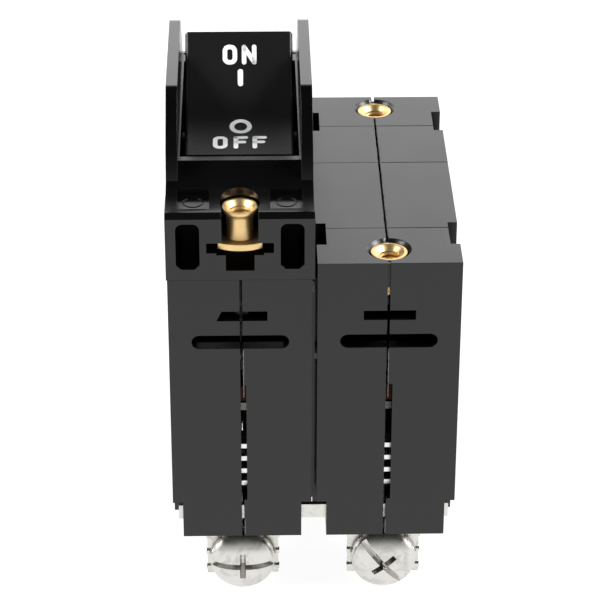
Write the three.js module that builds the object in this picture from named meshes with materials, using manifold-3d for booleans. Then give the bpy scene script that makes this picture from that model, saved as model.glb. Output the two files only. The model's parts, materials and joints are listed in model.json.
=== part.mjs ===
// A two-pole panel circuit breaker of the hydraulic-magnetic kind, in millimetres.
//
// The breaker stands on its terminal screws: +Z is the panel side with the rocker, X runs
// across the poles, and the near end is at -Y. Pieces are placed in the case frame, where
// y = 0 is the near end face and z = 0 the underside of the cases. Inside a pole, x = 0 is
// that pole's seam. Pole a, on the left, carries the bezel and the rocker.
import * as THREE from 'three';
import { mergeVertices } from 'three/addons/utils/BufferGeometryUtils.js';
import Module from 'manifold-3d';

const wasm = await Module();
wasm.setup();

// ---------------------------------------------------------------- driving dimensions
const poleWidth = 19.05;          // three quarters of an inch, the standard pole width
const poleGap = 0.68;             // air between the two cases
const caseLength = 50.8;
const caseHeight = 42.95;         // pole b; pole a is lower, to take the bezel
const sideWall = 1.6;
const endWall = 1.8;
const floorWall = 1.8;
const seamGap = 0.12;             // between the two halves of a case
const clearance = 0.3;            // between pieces that lie against each other

const bezelShift = 0.1;           // the bezel sits a little towards the other pole
const footHalfWidth = 9.75;
const footOverhang = 0.5;         // the foot stands this far past the end face
const footBottom = 40.9;
const footTop = 50.6;
const bezelHalfWidth = 9.66;
const guardInner = 8.13;
const guardTop = 61.8;
const rimHeight = 53.6;
const rimStart = 9.1;
const deckStart = 0.4;
const wellHalfWidth = 7.88;

const throwAngle = 60;            // rocker travel, off to on, in degrees
const rockerPivot = { y: caseLength / 2, z: 48.4 };
const rockerHalfWidth = 7.3;
const rockerFace = 11.7;          // pivot to the middle of the face's chord
const rockerArc = 21.2;           // length of the curved face
const rockerEndTilt = 23;         // tilt of the face's ends against its chord, degrees
const rockerSweep = 14.97;        // radius of the rocker's end skirts
const crankRadius = 4.5;

const armPivot = { y: 29.6, z: 12 };
const armLever = 11;              // arm pivot to link pin
const armTip = 19.3;              // arm pivot to the end of the arm
const tripPivot = { y: 31.5, z: 36.6 };
const armatureHinge = { y: 47.2, z: 34 };
const coilAxis = 40;              // y of the coil, on the seam

const screwDrop = 5.67;           // terminal screw below the underside of the case
const screwHeadRadius = 4.55;
const screwShank = 2.3;
const insertInset = 3.88;         // threaded insert to end face, pole b
const bezelInsertInset = 2.4;

const caseBottom = screwDrop + screwHeadRadius;      // the screw heads touch z = 0
const polePitch = poleWidth + poleGap;
const lowCaseHeight = footBottom - clearance;
const degree = Math.PI / 180;
const liftAngle = 2 * Math.asin((crankRadius * Math.sin((throwAngle / 2) * degree)) / armLever);

// ---------------------------------------------------------------- materials
const finish = {
  moulding: { color: 0x343436, roughness: 0.55, metalness: 0 },
  rocker: { color: 0x1b1b1c, roughness: 0.45, metalness: 0 },
  brass: { color: 0xc79a45, roughness: 0.3, metalness: 1 },
  tin: { color: 0xc9c8c2, roughness: 0.28, metalness: 1 },
  steel: { color: 0x9c9c9a, roughness: 0.4, metalness: 1 },
  copper: { color: 0xb4693f, roughness: 0.4, metalness: 1 },
  silver: { color: 0xdedcd6, roughness: 0.3, metalness: 1 },
  nylon: { color: 0xd9d2bd, roughness: 0.6, metalness: 0 },
  phenolic: { color: 0x5a3a26, roughness: 0.6, metalness: 0 },
};

// ---------------------------------------------------------------- solids
function solid(geometry) {
  const bare = geometry.index ? geometry.toNonIndexed() : geometry.clone();
  bare.deleteAttribute('normal');
  bare.deleteAttribute('uv');
  const merged = mergeVertices(bare, 1e-4);
  const mesh = new wasm.Mesh({
    numProp: 3,
    vertProperties: new Float32Array(merged.attributes.position.array),
    triVerts: new Uint32Array(merged.index.array),
  });
  mesh.merge();
  return new wasm.Manifold(mesh);
}

function geometryOf(body) {
  const mesh = body.getMesh();
  const geometry = new THREE.BufferGeometry();
  geometry.setAttribute('position', new THREE.BufferAttribute(new Float32Array(mesh.vertProperties), 3));
  geometry.setIndex(new THREE.BufferAttribute(new Uint32Array(mesh.triVerts), 1));
  geometry.computeVertexNormals();
  return geometry;
}

function join(...bodies) {
  return bodies.reduce((whole, body) => whole.add(body));
}

function cut(body, ...tools) {
  return tools.reduce((rest, tool) => rest.subtract(tool), body);
}

// A block between two values on each axis.
function block(x, y, z) {
  const geometry = new THREE.BoxGeometry(x[1] - x[0], y[1] - y[0], z[1] - z[0]);
  geometry.translate((x[0] + x[1]) / 2, (y[0] + y[1]) / 2, (z[0] + z[1]) / 2);
  return solid(geometry);
}

// A cylinder, or a cone if two radii are given, along one axis between two values.
function rod(axis, centre, radius, span, sides = 14) {
  const [r0, r1] = Array.isArray(radius) ? radius : [radius, radius];
  const geometry = new THREE.CylinderGeometry(r1, r0, span[1] - span[0], sides);
  geometry.translate(0, (span[0] + span[1]) / 2, 0);
  if (axis === 'x') {
    geometry.rotateZ(-Math.PI / 2);
    geometry.translate(0, centre[0], centre[1]);
  } else if (axis === 'z') {
    geometry.rotateX(Math.PI / 2);
    geometry.translate(centre[0], centre[1], 0);
  } else {
    geometry.translate(centre[0], 0, centre[1]);
  }
  return solid(geometry);
}

// An outline in the Y-Z plane, given as a shape, carried from x[0] to x[1].
function acrossX(shape, x, curveSegments = 4) {
  const geometry = new THREE.ExtrudeGeometry(shape, {
    depth: x[1] - x[0],
    bevelEnabled: false,
    curveSegments,
  });
  geometry.applyMatrix4(new THREE.Matrix4().set(0, 0, 1, x[0], 1, 0, 0, 0, 0, 1, 0, 0, 0, 0, 0, 1));
  return solid(geometry);
}

// An outline in the X-Z plane carried from y[0] to y[1].
function alongY(shape, y, curveSegments = 4) {
  const geometry = new THREE.ExtrudeGeometry(shape, {
    depth: y[1] - y[0],
    bevelEnabled: false,
    curveSegments,
  });
  geometry.applyMatrix4(new THREE.Matrix4().set(1, 0, 0, 0, 0, 0, -1, y[1], 0, 1, 0, 0, 0, 0, 0, 1));
  return solid(geometry);
}

function outline(points) {
  return new THREE.Shape(points.map(([a, b]) => new THREE.Vector2(a, b)));
}

// A slot outline with rounded ends, between two x values and two z values.
function slotShape(x, z) {
  const radius = (z[1] - z[0]) / 2;
  const middle = (z[0] + z[1]) / 2;
  const shape = new THREE.Shape();
  shape.moveTo(x[0] + radius, z[0]);
  shape.lineTo(x[1] - radius, z[0]);
  shape.absarc(x[1] - radius, middle, radius, -Math.PI / 2, Math.PI / 2, false);
  shape.lineTo(x[0] + radius, z[1]);
  shape.absarc(x[0] + radius, middle, radius, Math.PI / 2, 1.5 * Math.PI, false);
  return shape;
}

// A solid of revolution about Z: the profile is a closed loop of [radius, height] points.
function turned(profile, sides = 14) {
  const loop = [...profile, profile[0]].map(([r, z]) => new THREE.Vector2(r, z));
  const geometry = new THREE.LatheGeometry(loop, sides);
  geometry.rotateX(Math.PI / 2);
  const body = solid(geometry);
  return body.volume() < 0 ? solid(flipped(geometry)) : body;
}

function flipped(geometry) {
  const copy = geometry.clone();
  const index = copy.index.array;
  for (let i = 0; i < index.length; i += 3) {
    [index[i], index[i + 1]] = [index[i + 1], index[i]];
  }
  return copy;
}

// The same body at the other end of the breaker.
function atFarEnd(body) {
  return body.mirror([0, 1, 0]).translate([0, caseLength, 0]);
}

function atBothEnds(body) {
  return join(body, atFarEnd(body));
}

function addPiece(parent, name, body, look) {
  const mesh = new THREE.Mesh(geometryOf(body), new THREE.MeshStandardMaterial(finish[look]));
  mesh.name = name;
  parent.add(mesh);
  return mesh;
}

// ---------------------------------------------------------------- the case halves
const rivets = [
  { name: 'rivet_near', y: 4.5, z: 27 },
  { name: 'rivet_far', y: 42.4, z: 37.6 },
  { name: 'rivet_bottom', y: 25.4, z: 3.9 },
];
const rivetRadius = 1.3;
const rivetHead = { radius: 2.2, thickness: 0.6 };
const rivetBoss = 2.5;
const tieStrip = { y: [1.5, 2.3], z: [1.95, 4.1] };
const notch = { width: 1.38, depth: 6.5, height: 5.57 };
const standoffHeight = 0.38;
const tabSlot = { halfWidth: 5.3, y: [4.35, 5.95] };

function cavity(height, upperHalfWidth) {
  const inner = poleWidth / 2 - sideWall;
  const low = 7;
  const high = height - 7.5 + (caseHeight - height);
  const shoulder = 8.6;
  const narrow = 6.6;
  return join(
    block([-inner, inner], [endWall, caseLength - endWall], [low, high]),
    block([-narrow, narrow], [3.6, caseLength - 3.6], [floorWall, low + 0.1]),
    block([-inner, inner], [shoulder, caseLength - shoulder], [floorWall, low + 0.1]),
    block([-upperHalfWidth, upperHalfWidth], [shoulder, caseLength - shoulder], [high - 0.1, height - endWall]),
  );
}

// Everything that both halves of a case are cut by.
function caseCuts(pole, height) {
  const cuts = [];
  const half = poleWidth / 2;
  for (const side of [-1, 1]) {
    const x = side < 0 ? [-half - 1, -half + notch.width] : [half - notch.width, half + 1];
    cuts.push(atBothEnds(block(x, [-1, notch.depth], [-1, notch.height])));
  }
  const upper = pole === 'a'
    ? outline([[-3.15, 34.4], [3.6, 34.4], [3.6, 35.85], [-2.45, 35.85]])
    : outline([[-3.4, 34.4], [3.5, 34.4], [3.5, 35.8], [-3.4, 35.8]]);
  cuts.push(alongY(upper, [-1, 2.6]));
  cuts.push(alongY(slotShape([-6.5, 6.5], [30.15, 32.2]), [-1, 2.6]));
  cuts.push(block([0, pole === 'a' ? 0.72 : 0.6], [-1, 3], [6, 24.4]));
  const strip = tieStrip;
  const play = 0.2;
  cuts.push(atBothEnds(block(
    [-half - 1, half + 1],
    [strip.y[0] - play, strip.y[1] + play],
    [strip.z[0] - play, strip.z[1] + play],
  )));
  cuts.push(atBothEnds(block([-tabSlot.halfWidth, tabSlot.halfWidth], tabSlot.y, [-1, floorWall + 0.2])));
  if (pole === 'a') {
    cuts.push(block([-wellHalfWidth, wellHalfWidth], [10.4, caseLength - 10.4], [height - 3, height + 1]));
  } else {
    for (const side of [-1, 1]) {
      const x = side < 0 ? [-half - 1, -8.2] : [8.2, half + 1];
      cuts.push(atBothEnds(block(x, [5.24, 11.22], [height - 8, height + 1])));
    }
    const seat = join(
      rod('z', [0, insertInset], 2.6, [height - 6, height + 1], 24),
      rod('z', [0, insertInset], [2.6, 3.3], [height - 0.45, height + 0.3], 24),
    );
    cuts.push(atBothEnds(seat));
  }
  return cuts;
}

// A low pad near each end, on the side that faces the other pole. The two poles' pads are
// staggered, so that nothing can be pushed through between the cases.
function standoff(pole, side) {
  const half = poleWidth / 2;
  const x = side < 0 ? [-half - standoffHeight, -half + 0.1] : [half - 0.1, half + standoffHeight];
  const y = pole === 'a' ? [1.2, 4.2] : [4.5, 7.5];
  return atBothEnds(block(x, y, [0.4, 38]));
}

function caseHalf(pole, side) {
  const height = pole === 'a' ? lowCaseHeight : caseHeight;
  const half = poleWidth / 2;
  const x = side < 0 ? [-half, -seamGap / 2] : [seamGap / 2, half];
  const facing = (pole === 'a') === (side > 0);
  let body = block(x, [0, caseLength], [0, height]);
  body = body.subtract(cavity(height, pole === 'a' ? wellHalfWidth : 6.6));
  const bossX = side < 0 ? [-half + 0.5, -seamGap / 2] : [seamGap / 2, half - 0.5];
  for (const rivet of rivets) {
    body = body.add(rod('x', [rivet.y, rivet.z], rivetBoss, bossX, 8));
  }
  if (facing) {
    body = body.add(standoff(pole, side));
  }
  body = cut(body, ...caseCuts(pole, height));
  for (const rivet of rivets) {
    body = body.subtract(rod('x', [rivet.y, rivet.z], rivetRadius + 0.25, [-half - 1, half + 1], 10));
    if (!facing) {
      const recess = side < 0 ? [-half - 1, -half + 0.9] : [half - 0.9, half + 1];
      body = body.subtract(rod('x', [rivet.y, rivet.z], rivetHead.radius + 0.25, recess, 14));
    }
  }
  if (facing) {
    const wallX = side < 0 ? [-half - 1, -half + 3] : [half - 3, half + 1];
    body = body.subtract(rod('x', [armPivot.y, armPivot.z], 2.4, wallX));
    body = body.subtract(rod('x', [tripPivot.y, tripPivot.z], 1.8, wallX));
  }
  return body;
}

// ---------------------------------------------------------------- the bezel
// The deck climbs from the foot to the rim along a hollow arc.
function deckShape() {
  const shape = new THREE.Shape();
  const steps = 6;
  const startTilt = 6;
  const endTilt = 32;
  shape.moveTo(deckStart, footTop - 1);
  shape.lineTo(deckStart, footTop);
  const run = rimStart - deckStart;
  const rise = rimHeight - footTop;
  const radius = run / (Math.sin(endTilt * degree) - Math.sin(startTilt * degree));
  const arcRise = radius * (Math.cos(startTilt * degree) - Math.cos(endTilt * degree));
  for (let i = 1; i <= steps; i += 1) {
    const tilt = (startTilt + ((endTilt - startTilt) * i) / steps) * degree;
    const y = deckStart + radius * (Math.sin(tilt) - Math.sin(startTilt * degree));
    const z = footTop + (rise / arcRise) * radius * (Math.cos(startTilt * degree) - Math.cos(tilt));
    shape.lineTo(y, z);
  }
  shape.lineTo(caseLength / 2, rimHeight);
  shape.lineTo(caseLength / 2, footTop - 1);
  return shape;
}

function guardShape() {
  const near = [[5.8, 51.3], [7.8, 55.7], [13.8, 61.35], [14.35, 61.7], [15, guardTop]];
  const far = near.map(([y, z]) => [caseLength - y, z]).reverse();
  return outline([[near[0][0], footTop - 1], ...near, ...far, [far[far.length - 1][0], footTop - 1]]);
}

function bezelEndCuts() {
  const x = [5.28, 8.38];
  const z = [42.5, 49.15];
  const corner = 0.9;
  const chamfered = 0.65;
  const slot = new THREE.Shape();
  slot.moveTo(x[0] + chamfered, z[0]);
  slot.lineTo(x[1] - chamfered, z[0]);
  slot.lineTo(x[1], z[0] + chamfered);
  slot.lineTo(x[1], z[1] - corner);
  slot.absarc(x[1] - corner, z[1] - corner, corner, 0, Math.PI / 2, false);
  slot.lineTo(x[0] + corner, z[1]);
  slot.absarc(x[0] + corner, z[1] - corner, corner, Math.PI / 2, Math.PI, false);
  slot.lineTo(x[0], z[0] + chamfered);
  const front = -footOverhang - 1;
  const right = alongY(slot, [front, 8.1]);
  const left = right.mirror([1, 0, 0]);
  const channel = join(
    block([-2.4, 2.4], [front, bezelInsertInset], [46.3, footTop + 2]),
    rod('z', [0, bezelInsertInset], 2.65, [46.3, footTop + 2], 28),
    block([-4.4, 4.4], [front, 5.7], [44.9, 46.35]),
    block([-3.1, 3.1], [front, 5.7], [44.6, 44.95]),
    block([-1.87, 1.87], [front, 4.4], [42.3, 44.65]),
  );
  const chamfer = outline([[front, footTop - 0.9], [-footOverhang, footTop - 0.75], [0.15, footTop + 0.03],
    [0.15, footTop + 1], [front, footTop + 1]]);
  return join(left, right, channel, acrossX(chamfer, [-footHalfWidth - 1, footHalfWidth + 1]));
}

// Two shallow square sinks in the deck, beside the insert.
function deckSinks() {
  const sink = block([3.95, 8.2], [0.95, 4.9], [footTop - 0.05, footTop + 5]);
  return join(sink, sink.mirror([1, 0, 0]));
}

function bezelBody() {
  const full = [-footOverhang, caseLength + footOverhang];
  const width = [-bezelHalfWidth, bezelHalfWidth];
  const foot = [-footHalfWidth, footHalfWidth];
  let body = join(
    block(width, full, [footBottom, footTop]),
    atBothEnds(block(foot, [-footOverhang, 4.8], [footBottom, footTop])),
    atBothEnds(acrossX(deckShape(), width)),
  );
  const guard = acrossX(guardShape(), [guardInner, bezelHalfWidth]);
  body = join(body, guard, guard.mirror([1, 0, 0]));
  const well = rod('x', [rockerPivot.y, rockerPivot.z], 16.05, [-wellHalfWidth, wellHalfWidth], 36);
  const wellDrop = block([-wellHalfWidth, wellHalfWidth], [11.5, caseLength - 11.5], [footBottom - 1, 46]);
  const overWell = block([-guardInner, guardInner], [10.2, caseLength - 10.2], [rimHeight, guardTop + 3]);
  body = cut(body, well, wellDrop, overWell, atBothEnds(bezelEndCuts()), atBothEnds(deckSinks()));
  return body.subtract(rod('x', [rockerPivot.y, rockerPivot.z], 1.3, [-9.2, 9.2], 12));
}

// A brass insert with a coned mouth and a flange that keeps it in the bezel's T slot.
function bezelInsert() {
  const bore = 1.4;
  const flange = { z: [45.15, 46.1], halfWidth: 2.95, bulge: 6.2, depth: 2.9 };
  const profile = [
    [bore, flange.z[0]], [1.8, flange.z[0]], [1.8, 49.1], [2.35, 49.75], [2.35, 50.35], [2.1, 50.35], [bore, 49.6],
  ];
  const middle = flange.bulge - flange.depth;
  const plate = block([-flange.halfWidth, flange.halfWidth], [-flange.depth, flange.depth], flange.z)
    .intersect(rod('z', [0, middle], flange.bulge, flange.z, 48))
    .intersect(rod('z', [0, -middle], flange.bulge, flange.z, 48))
    .subtract(rod('z', [0, 0], bore, [flange.z[0] - 1, flange.z[1] + 1], 24));
  return join(turned(profile, 24), plate).translate([0, bezelInsertInset, 0]);
}

function caseInsert() {
  const bore = 1.45;
  const top = caseHeight - 0.35;
  const profile = [
    [bore, top - 5.3], [2.45, top - 5.3], [2.45, top], [2.1, top], [bore, top - 0.6],
  ];
  return turned(profile, 24).translate([0, insertInset, 0]);
}

// ---------------------------------------------------------------- the rocker
// The face is a valley: straight at both ends, and turning smoothly in between.
function rockerFaceCurve(steps) {
  const points = [[0, 0]];
  const step = rockerArc / steps;
  for (let i = 0; i < steps; i += 1) {
    const along = (i + 0.5) / steps;
    const turn = Math.min(Math.max((along - 0.2) / 0.6, 0), 1);
    const tilt = -rockerEndTilt * Math.cos(Math.PI * turn) * degree;
    const [y, z] = points[points.length - 1];
    points.push([y + step * Math.cos(tilt), z + step * Math.sin(tilt)]);
  }
  const chord = points[points.length - 1][0];
  return points.map(([y, z]) => [y - chord / 2, z + rockerFace]);
}

function rockerSkirt(radius, from, span, steps) {
  const points = [];
  for (let i = 0; i <= steps; i += 1) {
    const angle = from + (span * i) / steps;
    points.push([radius * Math.cos(angle), radius * Math.sin(angle)]);
  }
  return points;
}

function rockerBody() {
  const face = rockerFaceCurve(12);
  const corner = 44.8 * degree;    // where the flat ends turn into the skirts
  const span = 47.5 * degree;
  const farSkirt = rockerSkirt(rockerSweep, corner, -span, 6);
  const nearSkirt = farSkirt.map(([y, z]) => [-y, z]).reverse();
  const thickness = 1.7;
  const innerFar = rockerSkirt(rockerSweep - thickness, corner - span, span - 3 * degree, 5);
  const innerNear = innerFar.map(([y, z]) => [-y, z]).reverse();
  const innerFace = face.slice(2, -2).map(([y, z]) => [y, z - thickness]).reverse();
  const shell = outline([
    ...face, ...farSkirt, ...innerFar, ...innerFace, ...innerNear, ...nearSkirt,
  ]);
  const cheek = outline([...face, ...farSkirt, [2.2, -2.4], [-2.2, -2.4], ...nearSkirt]);
  const rib = outline([[-6, 7.6], [6, 7.6], [6.6, 1], [6.2, -1.2], [4.5, -2], [2, -2.6], [-2, -2.6], [-3, 0]]);
  let body = acrossX(shell, [-rockerHalfWidth, rockerHalfWidth]);
  for (const side of [-1, 1]) {
    const cheekX = [rockerHalfWidth - 1.4, rockerHalfWidth];
    const ribX = [1.3, 2.7];
    body = body.add(acrossX(cheek, side < 0 ? [-cheekX[1], -cheekX[0]] : cheekX));
    body = body.add(acrossX(rib, side < 0 ? [-ribX[1], -ribX[0]] : ribX));
  }
  const bore = rod('x', [0, 0], 1.3, [-10, 10], 12);
  const crankBore = rod('x', [crankRadius, 0], 0.92, [-3, 3], 10);
  return cut(body, bore, crankBore);
}

// ---------------------------------------------------------------- the drive
const linkTop = {
  y: rockerPivot.y + crankRadius * Math.cos((throwAngle / 2) * degree),
  z: rockerPivot.z + crankRadius * Math.sin((throwAngle / 2) * degree),
};
const linkFoot = {
  y: armPivot.y - armLever * Math.cos(liftAngle / 2),
  z: armPivot.z + armLever * Math.sin(liftAngle / 2),
};
const linkLength = Math.hypot(linkTop.y - linkFoot.y, linkTop.z - linkFoot.z);
const linkTilt = Math.atan2(linkTop.y - linkFoot.y, linkTop.z - linkFoot.z);
const pinRadius = 0.8;

// Drawn hanging straight down from its top eye; the slotted foot lets the arm pin drift.
function linkBody() {
  const foot = -linkLength;
  const halfThick = 0.9;
  const drift = 1.0;
  const bar = join(
    block([-halfThick, halfThick], [-1.3, 1.3], [foot, 0]),
    rod('x', [0, 0], 1.9, [-halfThick, halfThick], 12),
    block([-halfThick, halfThick], [-2.5, 2.5], [foot - 2.1, foot + 2.1]),
  );
  const slot = join(
    rod('x', [drift, foot], pinRadius + 0.32, [-2, 2], 10),
    rod('x', [-drift, foot], pinRadius + 0.32, [-2, 2], 10),
    block([-2, 2], [-drift, drift], [foot - pinRadius - 0.3, foot + pinRadius + 0.3]),
  );
  return cut(bar, rod('x', [0, 0], pinRadius + 0.2, [-2, 2], 10), slot);
}

// The arm is drawn closed, with its contact flat on the fixed one, about its own pivot.
const closedPin = [-armLever * Math.cos(liftAngle / 2), -armLever * Math.sin(liftAngle / 2)];

function armBody() {
  const bar = outline([[0, 3.1], [-armTip, -2.4], [-armTip, -4.4], [-15.5, -4.4], [0, -3.1]]);
  const halfWidth = 2.6;
  const body = join(
    acrossX(bar, [-halfWidth, halfWidth]),
    rod('x', [0, 0], 3.2, [-halfWidth, halfWidth]),
  );
  return cut(
    body,
    rod('x', [0, 0], 2.25, [-4, 4]),
    block([-1.3, 1.3], [-14.6, -5.6], [-6, 4]),
    rod('x', closedPin, pinRadius + 0.12, [-4, 4], 10),
  );
}

function crossbarBody() {
  const half = polePitch / 2 + 7.6;
  return rod('x', [0, 0], 2, [-half, half]);
}

function tripBarBody() {
  const half = polePitch / 2 + 6.3;
  const bodies = [rod('x', [0, 0], 1.5, [-half, half], 10)];
  for (const side of [-1, 1]) {
    const centre = (side * polePitch) / 2;
    const x = [centre - 2, centre + 2];
    bodies.push(block(x, [-0.9, 0], [-7.4, 0]));
    bodies.push(block(x, [-0.9, 1.7], [-7.4, -6.6]));
  }
  return join(...bodies);
}

// ---------------------------------------------------------------- inside each pole
const tab = { y: [4.65, 5.65], halfWidth: 5, bottom: -9.45 };
const shelf = { z: [3.7, 4.9], halfWidth: 4.4, end: 14.4 };

function terminalStrap() {
  const body = join(
    block([-tab.halfWidth, tab.halfWidth], tab.y, [tab.bottom, shelf.z[1]]),
    block([-shelf.halfWidth, shelf.halfWidth], [tab.y[0], shelf.end], shelf.z),
  );
  return body.subtract(rod('y', [0, -screwDrop], screwShank + 0.2, [0, 12]));
}

function fixedContact() {
  return block([-2.5, 2.5], [10.4, 13.9], [shelf.z[1] + clearance, 6.2]);
}

function movingContact() {
  return block([-2.4, 2.4], [-armTip + 0.1, -armTip + 3.5], [-5.7, -4.7]);
}

// Four deion plates with a notch each, held by two fibre cheeks.
function arcChute() {
  const plates = 4;
  const pitch = 2;
  const thickness = 0.7;
  const first = 7.05;
  const depth = [2.1, 8.9];
  const bodies = [];
  for (let i = 0; i < plates; i += 1) {
    const z = first + i * pitch;
    const plate = block([-5.9, 5.9], depth, [z, z + thickness]);
    bodies.push(plate.subtract(block([-1.3, 1.3], [5.6, 10], [z - 1, z + 2])));
  }
  const top = first + (plates - 1) * pitch + thickness + 0.3;
  for (const side of [-1, 1]) {
    const x = side < 0 ? [-6.4, -5.8] : [5.8, 6.4];
    bodies.push(block(x, [2.3, 8.9], [first, top]));
  }
  return join(...bodies);
}

const bobbin = { bottom: 11.1, top: 29.7, flange: 1, flangeRadius: 6.3, tubeRadius: 3.5, bore: 2.95 };

function bobbinBody() {
  const { bottom, top, flange, flangeRadius, tubeRadius, bore } = bobbin;
  const profile = [
    [bore, bottom], [flangeRadius, bottom], [flangeRadius, bottom + flange], [tubeRadius, bottom + flange],
    [tubeRadius, top - flange], [flangeRadius, top - flange], [flangeRadius, top], [bore, top],
  ];
  return turned(profile).translate([0, coilAxis, 0]);
}

function coilBody() {
  const inner = bobbin.tubeRadius + clearance;
  const z = [bobbin.bottom + bobbin.flange + clearance, bobbin.top - bobbin.flange - clearance];
  return turned([[inner, z[0]], [5.9, z[0]], [5.9, z[1]], [inner, z[1]]]).translate([0, coilAxis, 0]);
}

// The oil-filled tube that sets the time delay, with its pole piece on top.
function delayTube() {
  const profile = [[0, 6], [2.2, 6], [2.6, 6.4], [2.6, 30], [4.2, 30], [4.2, 30.6], [0, 30.6]];
  return turned(profile).translate([0, coilAxis, 0]);
}

function magnetFrame() {
  const half = 5.5;
  const back = [46.6, 47.8];
  const base = [9.6, 10.8];
  const body = join(
    block([-half, half], [33.6, back[1]], base),
    block([-half, half], back, [base[0], 32.3]),
  );
  const ears = [];
  for (const side of [-1, 1]) {
    const x = side < 0 ? [-half, -half + 0.7] : [half - 0.7, half];
    ears.push(block(x, [46.2, 48.2], [32.2, 35.1]));
  }
  const eared = join(body, ...ears);
  return cut(
    eared,
    rod('z', [0, coilAxis], 2.95, [9, 12]),
    rod('x', [armatureHinge.y, armatureHinge.z], 0.65, [-7, 7], 8),
  );
}

// Drawn about its hinge.
function armatureBody() {
  const knuckle = 1.35;
  const plate = block([-4.4, 4.4], [-14.7, -1], [-1.8, -0.7]);
  const knuckles = [-1, 1].map((side) => {
    const x = side < 0 ? [-4.4, -2.9] : [2.9, 4.4];
    return join(rod('x', [0, 0], knuckle, x, 10), block(x, [-1.2, 0], [-1.35, -0.2]));
  });
  return join(plate, ...knuckles).subtract(rod('x', [0, 0], 0.68, [-7, 7], 8));
}

class Helix extends THREE.Curve {
  constructor(radius, turns, start, end) {
    super();
    Object.assign(this, { radius, turns, start, end });
  }

  getPoint(t) {
    const angle = 2 * Math.PI * this.turns * t;
    const x = this.start + (this.end - this.start) * t;
    return new THREE.Vector3(x, this.radius * Math.cos(angle), this.radius * Math.sin(angle));
  }
}

// A fine return spring wound round the hinge pin.
function armatureSpring() {
  const wire = new THREE.Shape();
  wire.absarc(0, 0, 0.22, 0, 2 * Math.PI, false);
  const turns = 3;
  return solid(new THREE.ExtrudeGeometry(wire, {
    extrudePath: new Helix(1.1, turns, -2.3, 2.3),
    steps: turns * 8,
    curveSegments: 2,
    bevelEnabled: false,
  }));
}

// A flat copper braid that hangs in a loop between the coil and the arm's hub.
function braidBody() {
  const route = new THREE.CatmullRomCurve3([
    new THREE.Vector3(0, 29.9, 8.2),
    new THREE.Vector3(0, 30.2, 6.9),
    new THREE.Vector3(0, 32.4, 6.0),
    new THREE.Vector3(0, 34.8, 6.4),
    new THREE.Vector3(0, 35.9, 7.7),
    new THREE.Vector3(0, 36, 9.1),
  ]);
  const half = { thick: 0.4, wide: 1.9 };
  const strip = outline([
    [-half.wide, -half.thick], [half.wide, -half.thick], [half.wide, half.thick], [-half.wide, half.thick],
  ]);
  const geometry = new THREE.ExtrudeGeometry(strip, { extrudePath: route, steps: 10, bevelEnabled: false });
  return solid(geometry);
}

// ---------------------------------------------------------------- terminals
const clampPlate = { y: [3.45, 4.35], halfWidth: 4.98, z: [-8.65, -0.9] };

// A pressure plate with two turned lips and ribbed edges.
function clampBody() {
  const { y, halfWidth, z } = clampPlate;
  let body = block([-halfWidth, halfWidth], y, z);
  for (const side of [-1, 1]) {
    for (const height of [-7.5, -4.9, -2.3]) {
      const x = side < 0 ? [-halfWidth - 0.15, -3.4] : [3.4, halfWidth + 0.15];
      body = body.add(rod('x', [y[0] + 0.1, height], 0.5, x, 6));
    }
  }
  return body.subtract(rod('y', [0, -screwDrop], screwShank + 0.25, [0, 12]))
    .subtract(rod('y', [0, -screwDrop], screwHeadRadius + 0.2, [0, y[0] - 0.06]));
}

// Drawn about the screw's axis, with the slot turned by the given angle.
function screwBody(slotAngle) {
  const rim = 2.6;
  const apex = 0.35;
  const back = 3.2;
  const profile = [[0, apex]];
  const steps = 4;
  for (let i = 1; i <= steps; i += 1) {
    const angle = (i / steps) * 90 * degree;
    profile.push([screwHeadRadius * Math.sin(angle), rim - (rim - apex) * Math.cos(angle)]);
  }
  const tip = 11.2;
  profile.push([screwHeadRadius, back], [screwShank, back], [screwShank, tip - 0.6]);
  profile.push([screwShank - 0.6, tip], [0, tip]);
  const points = profile.map(([r, y]) => new THREE.Vector2(r, y));
  const geometry = new THREE.LatheGeometry(points, 16);
  let body = solid(geometry);
  if (body.volume() < 0) {
    body = solid(flipped(geometry));
  }
  const slot = block([-3.6, 3.6], [-1, 1.9], [-0.4, 0.4]);
  const cross = block([-0.45, 0.45], [-1, 2.2], [-1.9, 1.9]);
  return body.subtract(join(slot, cross).rotate([0, slotAngle, 0]));
}

// ---------------------------------------------------------------- assembly
const breaker = new THREE.Group();
const bboxShift = (footHalfWidth - bezelShift - poleWidth / 2) / 2;
breaker.position.set(bboxShift, -caseLength / 2, caseBottom);

function groupAt(parent, x, y, z, tilt = 0) {
  const group = new THREE.Group();
  group.position.set(x, y, z);
  group.rotation.x = tilt;
  parent.add(group);
  return group;
}

const poleGroups = {
  a: groupAt(breaker, -polePitch / 2, 0, 0),
  b: groupAt(breaker, polePitch / 2, 0, 0),
};

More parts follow.
